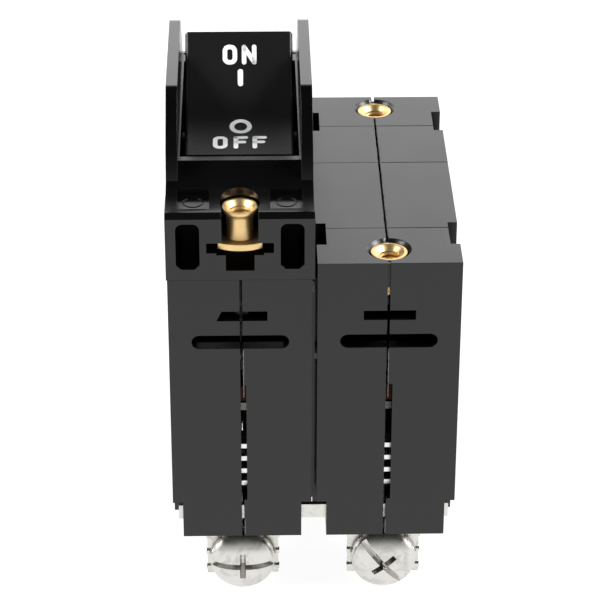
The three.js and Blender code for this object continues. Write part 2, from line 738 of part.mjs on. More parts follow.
for (const [pole, group] of Object.entries(poleGroups)) {
  addPiece(group, `case_${pole}_left`, caseHalf(pole, -1), 'moulding');
  addPiece(group, `case_${pole}_right`, caseHalf(pole, 1), 'moulding');
  addPiece(group, `line_terminal_${pole}`, terminalStrap(), 'tin');
  addPiece(group, `load_terminal_${pole}`, atFarEnd(terminalStrap()), 'tin');
  addPiece(group, `fixed_contact_${pole}`, fixedContact(), 'silver');
  addPiece(group, `arc_chute_${pole}`, arcChute(), 'steel');
  addPiece(group, `bobbin_${pole}`, bobbinBody(), 'nylon');
  addPiece(group, `coil_${pole}`, coilBody(), 'copper');
  addPiece(group, `delay_tube_${pole}`, delayTube(), 'brass');
  addPiece(group, `magnet_frame_${pole}`, magnetFrame(), 'steel');
  addPiece(group, `braid_${pole}`, braidBody(), 'copper');

  const hinge = groupAt(group, 0, armatureHinge.y, armatureHinge.z);
  addPiece(hinge, `armature_${pole}`, armatureBody(), 'steel');
  addPiece(hinge, `armature_pin_${pole}`, rod('x', [0, 0], 0.5, [-5.9, 5.9], 8), 'steel');
  addPiece(hinge, `armature_spring_${pole}`, armatureSpring(), 'steel');

  const arm = groupAt(group, 0, armPivot.y, armPivot.z, -liftAngle);
  addPiece(arm, `contact_arm_${pole}`, armBody(), 'copper');
  addPiece(arm, `moving_contact_${pole}`, movingContact(), 'silver');

  for (const end of ['line', 'load']) {
    const far = end === 'load';
    const place = (body) => (far ? atFarEnd(body) : body);
    const slotAngle = pole === 'a' ? 0 : 50;
    const screw = screwBody(slotAngle).translate([0, 0, -screwDrop]);
    addPiece(group, `${end}_clamp_${pole}`, place(clampBody()), 'tin');
    addPiece(group, `${end}_screw_${pole}`, place(screw), 'tin');
  }
}

// The link, its two pins and the bars that reach through both poles.
const rockerGroup = groupAt(
  poleGroups.a, bezelShift, rockerPivot.y, rockerPivot.z, (throwAngle / 2) * degree,
);
addPiece(rockerGroup, 'rocker', rockerBody(), 'rocker');
const crankPin = rod('x', [0, 0], pinRadius, [-2.6, 2.6], 10);
addPiece(groupAt(rockerGroup, 0, crankRadius, 0), 'crank_pin', crankPin, 'steel');

const linkGroup = groupAt(poleGroups.a, bezelShift, linkTop.y, linkTop.z, -linkTilt);
addPiece(linkGroup, 'drive_link', linkBody(), 'steel');
const armGroup = groupAt(poleGroups.a, 0, armPivot.y, armPivot.z, -liftAngle);
addPiece(armGroup, 'link_pin', rod('x', closedPin, pinRadius, [-2.6, 2.6], 10), 'steel');

addPiece(groupAt(breaker, 0, armPivot.y, armPivot.z), 'crossbar', crossbarBody(), 'phenolic');
addPiece(groupAt(breaker, 0, tripPivot.y, tripPivot.z), 'trip_bar', tripBarBody(), 'nylon');

// The bezel, its pivot pin and its inserts.
const bezelGroup = groupAt(poleGroups.a, bezelShift, 0, 0);
addPiece(bezelGroup, 'bezel', bezelBody(), 'moulding');
addPiece(
  bezelGroup, 'rocker_pivot_pin',
  rod('x', [rockerPivot.y, rockerPivot.z], 1.18, [-9, 9], 12), 'steel',
);
addPiece(bezelGroup, 'bezel_insert_near', bezelInsert(), 'brass');
addPiece(bezelGroup, 'bezel_insert_far', atFarEnd(bezelInsert()), 'brass');
addPiece(poleGroups.b, 'case_insert_near', caseInsert(), 'brass');
addPiece(poleGroups.b, 'case_insert_far', atFarEnd(caseInsert()), 'brass');

// Rivets and tie strips run through both cases.
const outerFace = polePitch / 2 + poleWidth / 2;
for (const rivet of rivets) {
  const ends = [outerFace - 0.2 - rivetHead.thickness, outerFace - 0.2];
  const body = join(
    rod('x', [rivet.y, rivet.z], rivetRadius, [-ends[0] - 0.1, ends[0] + 0.1], 10),
    rod('x', [rivet.y, rivet.z], rivetHead.radius, ends),
    rod('x', [rivet.y, rivet.z], rivetHead.radius, [-ends[1], -ends[0]]),
  );
  addPiece(breaker, rivet.name, body, 'steel');
}

const stripHalf = outerFace - 0.75;
const strip = block([-stripHalf, stripHalf], tieStrip.y, tieStrip.z);
addPiece(breaker, 'tie_strip_near', strip, 'tin');
addPiece(breaker, 'tie_strip_far', atFarEnd(strip), 'tin');

export default breaker;
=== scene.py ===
"""Looks for a two-pole circuit breaker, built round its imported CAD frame, in metres."""
import json
import math
import random

import bmesh
import bpy
from mathutils import Matrix, Vector


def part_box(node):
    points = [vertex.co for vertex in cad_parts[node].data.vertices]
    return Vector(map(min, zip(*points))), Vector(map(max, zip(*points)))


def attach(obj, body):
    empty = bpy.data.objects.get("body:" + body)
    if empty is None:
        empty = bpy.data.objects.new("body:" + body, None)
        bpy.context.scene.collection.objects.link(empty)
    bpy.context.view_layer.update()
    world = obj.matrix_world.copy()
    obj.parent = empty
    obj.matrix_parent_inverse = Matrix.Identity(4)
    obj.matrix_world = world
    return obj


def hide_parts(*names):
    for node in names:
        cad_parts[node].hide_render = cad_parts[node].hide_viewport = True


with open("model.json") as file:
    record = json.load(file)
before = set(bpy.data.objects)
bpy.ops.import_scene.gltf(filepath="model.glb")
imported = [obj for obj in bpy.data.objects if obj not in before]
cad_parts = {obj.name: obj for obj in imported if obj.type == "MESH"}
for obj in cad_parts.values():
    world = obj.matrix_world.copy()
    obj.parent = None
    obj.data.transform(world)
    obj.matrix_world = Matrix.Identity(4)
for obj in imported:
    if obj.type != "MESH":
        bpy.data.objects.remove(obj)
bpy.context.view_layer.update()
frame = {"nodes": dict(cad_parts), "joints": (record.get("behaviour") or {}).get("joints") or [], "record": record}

MM = 0.001

# ------------------------------------------------------------------ driving places, from the frame
CASE_A_LOW, CASE_A_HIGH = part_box("case_a_left")[0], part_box("case_a_right")[1]
CASE_B_LOW, CASE_B_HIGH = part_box("case_b_left")[0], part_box("case_b_right")[1]
CASE_NEAR = CASE_B_LOW.y
CASE_FAR = CASE_B_HIGH.y
CASE_BOTTOM = CASE_B_LOW.z
SEAM_A = (CASE_A_LOW.x + CASE_A_HIGH.x) / 2
SEAM_B = (CASE_B_LOW.x + CASE_B_HIGH.x) / 2
JOINTS = {joint["name"]: joint for joint in frame["joints"]}
ROCKER_PIVOT = Vector(JOINTS["rocker_pivot"]["pos_m"])
ROCKER_THROW = math.radians(-JOINTS["rocker_pivot"]["range_deg"][0])

# The rocker's face, as the CAD has it.
FACE_ARC = 21.2 * MM
FACE_CENTRE = 11.7 * MM
FACE_END_TILT = math.radians(23)
SKIRT_RADIUS = 14.97 * MM
SKIRT_START = math.radians(44.8)      # where the flat ends turn into the skirts
SKIRT_SPAN = math.radians(47.5)
ROCKER_HALF_WIDTH = 7.3 * MM
ROCKER_EDGE = 0.5 * MM                # rounding round the face
LEGEND_SHIFT = 0.17 * MM              # the legend is printed a little to the right


# ------------------------------------------------------------------ camera, light and floor
def place_camera():
    """The viewing angle: a little left of square on, from about 30 degrees above."""
    azimuth, elevation, roll = math.radians(-1.21), math.radians(29.69), math.radians(0.11)
    distance = 0.3405
    target = Vector((SEAM_B - 11.64 * MM, CASE_NEAR, CASE_BOTTOM + 37.54 * MM))
    back = Vector((
        math.sin(azimuth) * math.cos(elevation),
        -math.cos(azimuth) * math.cos(elevation),
        math.sin(elevation),
    ))
    data = bpy.data.cameras.new("camera")
    data.sensor_width = 36
    data.lens = 155.35
    data.clip_start, data.clip_end = 0.01, 10
    camera = bpy.data.objects.new("camera", data)
    camera.location = target + back * distance
    turn = (-back).to_track_quat("-Z", "Y").to_matrix() @ Matrix.Rotation(roll, 3, "Z")
    camera.rotation_euler = turn.to_euler()
    bpy.context.scene.collection.objects.link(camera)
    bpy.context.scene.camera = camera


def set_ramp(ramp, stops):
    """Gives a new colour ramp its stops, each a position and a colour."""
    for element, (position, colour) in zip(ramp.elements, (stops[0], stops[-1])):
        element.position = position
        element.color = (*colour, 1)
    for position, colour in stops[1:-1]:
        ramp.elements.new(position).color = (*colour, 1)


def light_world():
    """A soft studio: a white sweep behind and round the horizon, and darkness overhead."""
    world = bpy.data.worlds.new("studio")
    bpy.context.scene.world = world
    world.use_nodes = True
    nodes, links = world.node_tree.nodes, world.node_tree.links
    nodes.clear()
    coordinates = nodes.new("ShaderNodeTexCoord")
    split = nodes.new("ShaderNodeSeparateXYZ")
    links.new(coordinates.outputs["Generated"], split.inputs[0])

    def by_height(stops):
        """Brightness by the height of a direction: 0 is the horizon, 1 straight up."""
        node = nodes.new("ShaderNodeValToRGB")
        set_ramp(node.color_ramp, [(position, (value,) * 3) for position, value in stops])
        links.new(split.outputs["Z"], node.inputs[0])
        return node.outputs[0]

    behind = by_height([
        (0.0, 1.0), (0.42, 0.98), (0.5, 0.9), (0.58, 0.62),
        (0.66, 0.26), (0.76, 0.05), (0.86, 0.008), (1.0, 0.003),
    ])
    before = by_height([
        (0.0, 0.3), (0.2, 0.24), (0.45, 0.09), (0.68, 0.03), (0.85, 0.006), (1.0, 0.003),
    ])
    facing = nodes.new("ShaderNodeMapRange")
    facing.interpolation_type = "SMOOTHSTEP"
    facing.inputs["From Min"].default_value = -0.35
    facing.inputs["From Max"].default_value = 0.3
    links.new(split.outputs["Y"], facing.inputs["Value"])
    blend = nodes.new("ShaderNodeMix")
    blend.data_type = "RGBA"
    links.new(facing.outputs[0], blend.inputs[0])
    links.new(before, blend.inputs[6])
    links.new(behind, blend.inputs[7])
    background = nodes.new("ShaderNodeBackground")
    background.inputs["Strength"].default_value = 2.5
    links.new(blend.outputs[2], background.inputs["Color"])
    output = nodes.new("ShaderNodeOutputWorld")
    links.new(background.outputs[0], output.inputs[0])


def add_lamp(name, place, target, size, power):
    data = bpy.data.lights.new(name, "AREA")
    data.size = size
    data.energy = power
    lamp = bpy.data.objects.new(name, data)
    lamp.location = place
    lamp.rotation_euler = (Vector(target) - Vector(place)).to_track_quat("-Z", "Y").to_euler()
    bpy.context.scene.collection.objects.link(lamp)


def lay_floor():
    """A plain floor that glows, so that it stays white with hardly any shadow."""
    mesh = bpy.data.meshes.new("floor")
    half = 3.0
    corners = [(-half, -half, 0), (half, -half, 0), (half, half, 0), (-half, half, 0)]
    mesh.from_pydata(corners, [], [(0, 1, 2, 3)])
    floor = bpy.data.objects.new("floor", mesh)
    bpy.context.scene.collection.objects.link(floor)
    material = bpy.data.materials.new("floor")
    material.use_nodes = True
    shader = material.node_tree.nodes["Principled BSDF"]
    shader.inputs["Base Color"].default_value = (0.14, 0.14, 0.14, 1)
    shader.inputs["Roughness"].default_value = 0.9
    shader.inputs["Specular IOR Level"].default_value = 0.1
    shader.inputs["Emission Color"].default_value = (1, 1, 1, 1)
    shader.inputs["Emission Strength"].default_value = 0.93
    mesh.materials.append(material)


place_camera()
light_world()
lay_floor()
for lamp_name, lamp_side in (("left_softbox", -1), ("right_softbox", 1)):
    add_lamp(lamp_name, (lamp_side * 0.95, -0.12, 0.75), (0, 0, 0.03), size=0.5, power=17)
bpy.context.scene.view_settings.view_transform = "Standard"


# ------------------------------------------------------------------ materials
class Shader:
    """A node material under construction, with a few shorthands."""

    def __init__(self, name, metallic=0.0, coat=0.0):
        self.material = bpy.data.materials.new(name)
        self.material.use_nodes = True
        self.nodes = self.material.node_tree.nodes
        self.links = self.material.node_tree.links
        self.bsdf = self.nodes["Principled BSDF"]
        self.bsdf.inputs["Metallic"].default_value = metallic
        self.bsdf.inputs["Specular IOR Level"].default_value = 0.5
        self.bsdf.inputs["Coat Weight"].default_value = coat
        self.place = self.nodes.new("ShaderNodeTexCoord").outputs["Object"]

    def noise(self, scale, detail, roughness=0.55, stretch=(1, 1, 1), distortion=0.0):
        mapping = self.nodes.new("ShaderNodeMapping")
        mapping.inputs["Scale"].default_value = stretch
        self.links.new(self.place, mapping.inputs["Vector"])
        node = self.nodes.new("ShaderNodeTexNoise")
        node.inputs["Scale"].default_value = scale
        node.inputs["Detail"].default_value = detail
        node.inputs["Roughness"].default_value = roughness
        node.inputs["Distortion"].default_value = distortion
        self.links.new(mapping.outputs[0], node.inputs["Vector"])
        return node.outputs["Fac"]

    def ramp(self, value, stops):
        node = self.nodes.new("ShaderNodeValToRGB")
        set_ramp(node.color_ramp, stops)
        self.links.new(value, node.inputs[0])
        return node.outputs[0]

    def span(self, value, low, high):
        node = self.nodes.new("ShaderNodeMapRange")
        node.inputs["To Min"].default_value = low
        node.inputs["To Max"].default_value = high
        self.links.new(value, node.inputs["Value"])
        return node.outputs[0]

    def math(self, operation, a, b):
        node = self.nodes.new("ShaderNodeMath")
        node.operation = operation
        for socket, value in zip(node.inputs, (a, b)):
            if isinstance(value, (int, float)):
                socket.default_value = value
            else:
                self.links.new(value, socket)
        return node.outputs[0]

    def bump(self, height, strength, distance):
        node = self.nodes.new("ShaderNodeBump")
        node.inputs["Strength"].default_value = strength
        node.inputs["Distance"].default_value = distance
        self.links.new(height, node.inputs["Height"])
        self.links.new(node.outputs[0], self.bsdf.inputs["Normal"])

    def colour(self, socket):
        self.links.new(socket, self.bsdf.inputs["Base Color"])

    def rough(self, socket):
        self.links.new(socket, self.bsdf.inputs["Roughness"])


def shade(colour, factor):
    """A colour made lighter or darker by a factor."""
    return tuple(min(1.0, channel * factor) for channel in colour)


def moulded_plastic(name, colour, rough, grain, depth):
    """Moulded thermoset or nylon: a fine sparked grain, faint flow marks and dust."""
    s = Shader(name)
    flow = s.noise(120, 3, 0.5, (1, 1, 0.35), 0.6)
    specks = s.noise(9000, 2, 0.5)
    tint = s.math("ADD", s.math("MULTIPLY", flow, 0.8), s.math("MULTIPLY", specks, 0.2))
    s.colour(s.ramp(tint, [
        (0.3, shade(colour, 0.86)), (0.55, colour), (0.75, shade(colour, 1.18)),
    ]))
    gloss = s.math("ADD", s.math("MULTIPLY", flow, 0.5), s.math("MULTIPLY", specks, 0.5))
    s.rough(s.span(gloss, rough - 0.07, rough + 0.07))
    fine = s.noise(grain, 3, 0.6)
    coarse = s.noise(grain * 0.22, 2, 0.5)
    s.bump(s.math("ADD", fine, s.math("MULTIPLY", coarse, 0.5)), 0.6, depth)
    return s.material


def plated_metal(name, colour, rough, tarnish, scratches):
    """Bright metal with a soft unevenness, fine scratches and slightly darker patches."""
    s = Shader(name, metallic=1.0)
    patches = s.noise(420, 5, 0.6, (1, 1, 1), 0.8)
    s.colour(s.ramp(patches, [
        (0.28, shade(colour, 1 - tarnish)), (0.5, colour), (0.72, shade(colour, 1.04)),
    ]))
    lines = s.noise(1500, 4, 0.7, (1, 0.06, 1))
    gloss = s.math("ADD", s.math("MULTIPLY", patches, 0.6), s.math("MULTIPLY", lines, 0.4 * scratches))
    s.rough(s.span(gloss, rough * 0.7, rough * 1.5))
    pits = s.noise(2600, 3, 0.6)
    s.bump(s.math("ADD", pits, s.math("MULTIPLY", lines, scratches)), 0.5, 0.006 * MM)
    return s.material


WAVE_FACTOR = 20                      # the wave texture multiplies its scale by this


def turned_metal(name, colour, rough):
    """Lathe-turned metal: fine rings square to Z, with a bright uneven finish."""
    ring_pitch = 0.24322 * MM
    s = Shader(name, metallic=1.0)
    patches = s.noise(500, 4, 0.6, (1, 1, 1), 0.5)
    s.colour(s.ramp(patches, [(0.25, shade(colour, 0.86)), (0.5, colour), (0.75, shade(colour, 1.08))]))
    rings = s.nodes.new("ShaderNodeTexWave")
    rings.bands_direction = "Z"
    rings.inputs["Scale"].default_value = 2 * math.pi / (WAVE_FACTOR * ring_pitch)
    rings.inputs["Distortion"].default_value = 1.2
    rings.inputs["Detail Scale"].default_value = 2
    s.links.new(s.place, rings.inputs["Vector"])
    s.rough(s.span(patches, rough * 0.75, rough * 1.35))
    s.bump(s.math("ADD", rings.outputs["Fac"], s.math("MULTIPLY", patches, 0.6)), 0.35, 0.006 * MM)
    return s.material


def wound_wire(name, colour):
    """Enamelled copper turns, closely wound about Z, with painted shade in the grooves between them."""
    s = Shader(name, metallic=1.0, coat=0.4)
    turns = s.nodes.new("ShaderNodeTexWave")
    turns.bands_direction = "Z"
    turns.inputs["Scale"].default_value = 500          # a turn about every 0.63 mm
    s.links.new(s.place, turns.inputs["Vector"])
    patches = s.noise(600, 3)
    # Painted shade: the colour darkens in the grooves between turns, where the bump is lowest, and lightens a
    # little on their crests as a painted highlight.
    s.colour(s.ramp(s.math("MULTIPLY", turns.outputs["Fac"], patches), [
        (0.05, shade(colour, 0.45)), (0.3, colour), (0.6, shade(colour, 1.2)),
    ]))
    s.rough(s.span(patches, 0.22, 0.4))
    s.bump(turns.outputs["Fac"], 0.9, 0.1 * MM)
    return s.material


def printed_ink(name, colour):
    """Pad-printed ink: matt, a little thin and uneven."""
    s = Shader(name)
    film = s.noise(5200, 4, 0.6)
    s.colour(s.ramp(film, [(0.3, shade(colour, 0.86)), (0.5, colour), (0.7, shade(colour, 1.03))]))
    s.rough(s.span(film, 0.45, 0.65))
    s.bump(film, 0.4, 0.01 * MM)
    return s.material


MATERIALS = {
    "moulding": moulded_plastic("case_moulding", (0.0016, 0.0016, 0.0018), 0.32, 7000, 0.008 * MM),
    "bezel": moulded_plastic("bezel_moulding", (0.0012, 0.0012, 0.0013), 0.22, 6000, 0.008 * MM),
    "rocker": moulded_plastic("rocker_moulding", (0.0012, 0.0012, 0.0013), 0.40, 4200, 0.014 * MM),
    "flash": moulded_plastic("seam_flash", (0.16, 0.16, 0.155), 0.6, 6000, 0.01 * MM),
    "print": printed_ink("white_print", (0.93, 0.94, 0.94)),
    "brass": turned_metal("turned_brass", (0.84, 0.60, 0.29), 0.40),
    "tin": plated_metal("bright_tin", (0.66, 0.65, 0.61), 0.24, 0.3, 0.7),
    "steel": plated_metal("stamped_steel", (0.30, 0.30, 0.30), 0.38, 0.2, 0.9),
    "plates": plated_metal("chute_plates", (0.88, 0.90, 0.92), 0.24, 0.1, 0.4),
    "silver": plated_metal("silver_contact", (0.9, 0.89, 0.86), 0.26, 0.1, 0.4),
    "copper": plated_metal("plain_copper", (0.34, 0.15, 0.09), 0.36, 0.25, 0.7),
    "winding": wound_wire("enamelled_winding", (0.34, 0.13, 0.06)),
    "nylon": moulded_plastic("natural_nylon", (0.60, 0.54, 0.40), 0.5, 3500, 0.008 * MM),
    "phenolic": moulded_plastic("brown_phenolic", (0.10, 0.045, 0.025), 0.45, 5000, 0.01 * MM),
}


# ------------------------------------------------------------------ mesh tools
def new_object(name, mesh):
    piece = bpy.data.objects.new(name, mesh)
    bpy.context.scene.collection.objects.link(piece)
    return piece


def from_bmesh(name, bm):
    mesh = bpy.data.meshes.new(name)
    bmesh.ops.recalc_face_normals(bm, faces=bm.faces)
    bm.to_mesh(mesh)
    bm.free()
    return new_object(name, mesh)


def smooth(piece, angle):
    for polygon in piece.data.polygons:
        polygon.use_smooth = True
    piece.data.set_sharp_from_angle(angle=math.radians(angle))


def baked(piece):
    """Applies every modifier of a piece to its mesh."""
    graph = bpy.context.evaluated_depsgraph_get()
    mesh = bpy.data.meshes.new_from_object(piece.evaluated_get(graph))
    piece.modifiers.clear()
    piece.data = mesh


FLAT_ANGLE = math.radians(0.4)        # faces that turn by less lie in one plane


def flattened(piece):
    """Joins triangles that lie in one plane into whole faces."""
    bm = bmesh.new()
    bm.from_mesh(piece.data)
    bmesh.ops.remove_doubles(bm, verts=bm.verts, dist=0.002 * MM)
    bmesh.ops.dissolve_limit(
        bm, angle_limit=FLAT_ANGLE, verts=bm.verts, edges=bm.edges, delimit={"NORMAL"},
    )
    bm.to_mesh(piece.data)
    bm.free()
    return piece


def bevelled(piece, width, segments=2, angle=24):
    """Rounds every edge that turns by more than an angle."""
    modifier = piece.modifiers.new("bevel", "BEVEL")
    modifier.width = width
    modifier.segments = segments
    modifier.limit_method = "ANGLE"
    modifier.angle_limit = math.radians(angle)
    modifier.use_clamp_overlap = True
    modifier.miter_outer = "MITER_ARC"
    baked(piece)


def evened(piece):
    """Flat faces stay flat under smooth shading: their size weighs on the shared normals."""
    modifier = piece.modifiers.new("even", "WEIGHTED_NORMAL")
    modifier.weight = 100
    modifier.keep_sharp = True


def carved(piece, cutters, operation="DIFFERENCE"):
    """Cuts a piece by each cutter in turn, or joins them to it, and removes them."""
    for cutter in cutters:
        modifier = piece.modifiers.new("cut", "BOOLEAN")
        modifier.operation = operation
        modifier.solver = "EXACT"
        modifier.object = cutter
        baked(piece)
        bpy.data.objects.remove(cutter)


def prism(name, outline, start, end, axes):
    """An outline in two axes carried along the third, from start to end."""
    u, v, w = (Vector(axis) for axis in axes)
    bm = bmesh.new()
    rings = [[bm.verts.new(u * a + v * b + w * depth) for a, b in outline] for depth in (start, end)]
    count = len(outline)
    bm.faces.new(rings[0][::-1])
    bm.faces.new(rings[1])
    for i in range(count):
        j = (i + 1) % count
        bm.faces.new((rings[0][i], rings[0][j], rings[1][j], rings[1][i]))
    return from_bmesh(name, bm)


ACROSS_X = ((0, 1, 0), (0, 0, 1), (1, 0, 0))
ALONG_Y = ((1, 0, 0), (0, 0, 1), (0, 1, 0))
UP_Z = ((1, 0, 0), (0, 1, 0), (0, 0, 1))


def block(name, x, y, z):
    return prism(name, [(x[0], y[0]), (x[1], y[0]), (x[1], y[1]), (x[0], y[1])], z[0], z[1], UP_Z)


def revolved(name, profile, sides, wobble=None):
    """Turns a closed profile of (radius, height) about Z; wobble may shift a point's radius."""
    bm = bmesh.new()
    rings = []
    for radius, height in profile:
        if radius < 1e-9:
            rings.append([bm.verts.new((0, 0, height))])
            continue
        ring = []
        for i in range(sides):
            turn = 2 * math.pi * i / sides
            r = radius + (wobble(radius, height, turn) if wobble else 0)
            ring.append(bm.verts.new((r * math.cos(turn), r * math.sin(turn), height)))
        rings.append(ring)
    for k, ring in enumerate(rings):
        following = rings[(k + 1) % len(rings)]
        if len(ring) == 1 and len(following) == 1:
            continue
        for i in range(sides):
            j = (i + 1) % sides
            if len(ring) == 1:
                bm.faces.new((ring[0], following[j], following[i]))
            elif len(following) == 1:
                bm.faces.new((ring[i], ring[j], following[0]))
            else:
                bm.faces.new((ring[i], ring[j], following[j], following[i]))
    return from_bmesh(name, bm)


def finish_piece(piece, body, look, *nodes, angle=32):
    """Shades a piece, dresses it, puts it on its body and hides the CAD nodes that it stands for."""
    smooth(piece, angle)
    evened(piece)
    piece.data.materials.clear()
    piece.data.materials.append(MATERIALS[look])
    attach(piece, body)
    if nodes:
        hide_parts(*nodes)


def copy_of(node):
    """A new piece that starts from a CAD node's shape, with its flat faces made whole."""
    piece = new_object(node + "_shape", frame["nodes"][node].data.copy())
    return flattened(piece)


# ------------------------------------------------------------------ pieces that keep their CAD shape
# Nodes whose look is not the one of their slot.
OWN_LOOK = {
    "coil_a": "winding", "coil_b": "winding",
    "arc_chute_a": "plates", "arc_chute_b": "plates",
}


def dress_nodes():
    """Every CAD node gets its material and rounded edges; most that show are rebuilt below."""
    for row in frame["record"]["subparts"]:
        node = frame["nodes"][row["node"]]
        look = OWN_LOOK.get(row["node"], row["material_slot"])
        node.data.materials.clear()
        node.data.materials.append(MATERIALS[look])
        planar = node.modifiers.new("whole_faces", "DECIMATE")
        planar.decimate_type = "DISSOLVE"
        planar.angle_limit = FLAT_ANGLE
        bevel = node.modifiers.new("edges", "BEVEL")
        bevel.width = 0.06 * MM
        bevel.segments = 2
        bevel.limit_method = "ANGLE"
        bevel.angle_limit = math.radians(40)


# ------------------------------------------------------------------ the cases
def ragged_strip(name, rng, points, side, width, rise):
    """A thin torn edge of flash along a line of points: side is the way across, rise its height."""
    bm = bmesh.new()
    across, up = Vector(side).normalized(), Vector(rise)
    rows = []
    for point in points:
        half = width * rng.uniform(0.35, 1.0)
        lift = up * rng.uniform(0.25, 1.0)
        base = Vector(point) + across * rng.uniform(-0.25, 0.25) * width
        rows.append([
            bm.verts.new(base - across * half),
            bm.verts.new(base + lift),
            bm.verts.new(base + across * half),
        ])
    for a, b in zip(rows, rows[1:]):
        bm.faces.new((a[0], a[1], b[1], b[0]))
        bm.faces.new((a[1], a[2], b[2], b[1]))
        bm.faces.new((a[2], a[0], b[0], b[2]))
    bm.faces.new(rows[0][::-1])
    bm.faces.new(rows[-1])
    return from_bmesh(name, bm)


def torn_seam(node):
    """Cutters that open one half's side of the joint a little at the surface, with a torn edge."""
    rng = random.Random(len(node) + 3)
    side = -1 if node.endswith("left") else 1
    seam = SEAM_A if node.startswith("case_a") else SEAM_B
    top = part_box(node)[1].z
    skin, over, pitch = 1.9 * MM, 0.3 * MM, 0.36 * MM

    def outline(low, high):
        count = round((high - low) / pitch)
        edge = [
            (seam + side * rng.uniform(0.07, 0.15) * MM, low + (high - low) * i / count)
            for i in range(count + 1)
        ]
        return edge + [(seam - side * over, high), (seam - side * over, low)]

    cutters = []
    for y, out in ((CASE_NEAR, -1), (CASE_FAR, 1)):
        span = sorted((y - out * skin, y + out * over))
        torn = outline(CASE_BOTTOM - over, top + over)
        cutters.append(prism("torn", torn, span[0], span[1], ALONG_Y))
    if node.startswith("case_b"):
        torn = outline(CASE_NEAR - over, CASE_FAR + over)
        cutters.append(prism("torn", torn, top - skin, top + over, UP_Z))
    return cutters


def build_tongues():
    """The lip inside pole b's joint, beside its inserts, that keeps light from passing through."""
    for end, y, inward in (("near", CASE_NEAR, 1), ("far", CASE_FAR, -1)):
        span = sorted((y + inward * 0.65 * MM, y + inward * 1.05 * MM))
        lip = block(
            f"joint_lip_{end}", (SEAM_B - 0.3 * MM, SEAM_B + 0.3 * MM), span,
            (CASE_B_HIGH.z - 4 * MM, CASE_B_HIGH.z - 0.4 * MM),
        )
        finish_piece(lip, "case", "moulding")


def build_cases():
    """Each half keeps its shape, with softened and torn edges; pole b has hairlines across its top."""
    hairlines = (CASE_NEAR + 9.8 * MM, CASE_NEAR + 29.3 * MM, CASE_FAR - 9.8 * MM)
    half_line, line_depth = 0.05 * MM, 0.12 * MM
    for node in ("case_a_left", "case_a_right", "case_b_left", "case_b_right"):
        piece = copy_of(node)
        if node.startswith("case_b"):
            low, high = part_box(node)
            cutters = []
            for y in hairlines:
                cutters.append(block(
                    "hairline", (low.x - MM, high.x + MM), (y - half_line, y + half_line),
                    (high.z - line_depth, high.z + MM),
                ))
            carved(piece, cutters)
        bevelled(piece, 0.2 * MM, 3)
        carved(piece, torn_seam(node))
        finish_piece(piece, "case", "moulding", node)


def build_flash():
    """Traces of flash where the halves of each case meet, on the near and far faces and pole b's top."""
    rng = random.Random(7)
    count = 46
    aside = 0.2 * MM                  # from the middle of the joint

    def strip(name, points, width, rise):
        piece = ragged_strip(name, rng, points, (1, 0, 0), width, rise)
        finish_piece(piece, "case", "flash")

    for pole, seam in (("a", SEAM_A), ("b", SEAM_B)):
        for end, y, out in (("near", CASE_NEAR, -1), ("far", CASE_FAR, 1)):
            for part, low, high in (("low", 0.3, 2.7), ("high", 22.5, 29.9)):
                low, high = CASE_BOTTOM + low * MM, CASE_BOTTOM + high * MM
                points = [(seam + aside, y, low + (high - low) * i / count) for i in range(count + 1)]
                strip(f"flash_{end}_{part}_{pole}", points, 0.06 * MM, (0, out * 0.06 * MM, 0))
    count *= 2
    top = CASE_B_HIGH.z
    low, high = CASE_NEAR + 7.4 * MM, CASE_FAR - 7.4 * MM
    points = [(SEAM_B + aside, low + (high - low) * i / count, top) for i in range(count + 1)]
    strip("flash_top_b", points, 0.05 * MM, (0, 0, 0.05 * MM))


# ------------------------------------------------------------------ the bezel
def build_bezel():
    """The bezel, with a plain raised ring in each sink where the real one has a mark."""
    piece = copy_of("bezel")
    bevelled(piece, 0.14 * MM, 3)
    finish_piece(piece, "case", "bezel", "bezel")
    low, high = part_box("bezel")
    middle = (low.x + high.x) / 2
    sink_floor = CASE_BOTTOM + 50.54 * MM
    for end, y in (("near", CASE_NEAR + 2.95 * MM), ("far", CASE_FAR - 2.95 * MM)):
        for side, shift in (("left", -6.08), ("right", 6.08)):
            profile = [(1.42, 0), (1.42, 0.05), (1.32, 0.09), (1.22, 0.05), (1.22, 0)]
            ring = revolved(f"mark_{end}_{side}", [(r * MM, z * MM) for r, z in profile], 64)
            ring.location = (middle + shift * MM, y, sink_floor)
            finish_piece(ring, "case", "bezel")


# ------------------------------------------------------------------ the rocker
def face_line(steps):
    """The face's side view as (y, z, tilt), from its near edge to its far edge."""
    points = [(0.0, 0.0)]
    step = FACE_ARC / steps
    tilts = []
    for i in range(steps):
        along = min(max(((i + 0.5) / steps - 0.2) / 0.6, 0), 1)
        tilt = -FACE_END_TILT * math.cos(math.pi * along)
        tilts.append(tilt)
        y, z = points[-1]
        points.append((y + step * math.cos(tilt), z + step * math.sin(tilt)))
    chord = points[-1][0]
    return [(y - chord / 2, z + FACE_CENTRE) for y, z in points], tilts


FACE_STEPS = 96
FACE, FACE_TILTS = face_line(FACE_STEPS)


def on_face(along, lift=0.0):
    """(y, z) of a point on the face at a distance along its arc, raised square to it."""
    place = min(max(along / FACE_ARC * FACE_STEPS, 0), FACE_STEPS - 1e-6)
    i = int(place)
    share = place - i
    (y0, z0), (y1, z1) = FACE[i], FACE[i + 1]
    tilt = FACE_TILTS[i]
    return y0 + (y1 - y0) * share - lift * math.sin(tilt), z0 + (z1 - z0) * share + lift * math.cos(tilt)


def from_rocker(x, y, z):
    """A point in the rocker's own frame, at mid throw, to the place it has at rest."""
    turned = Matrix.Rotation(ROCKER_THROW / 2, 4, "X") @ Vector((x, y, z))
    return ROCKER_PIVOT + turned


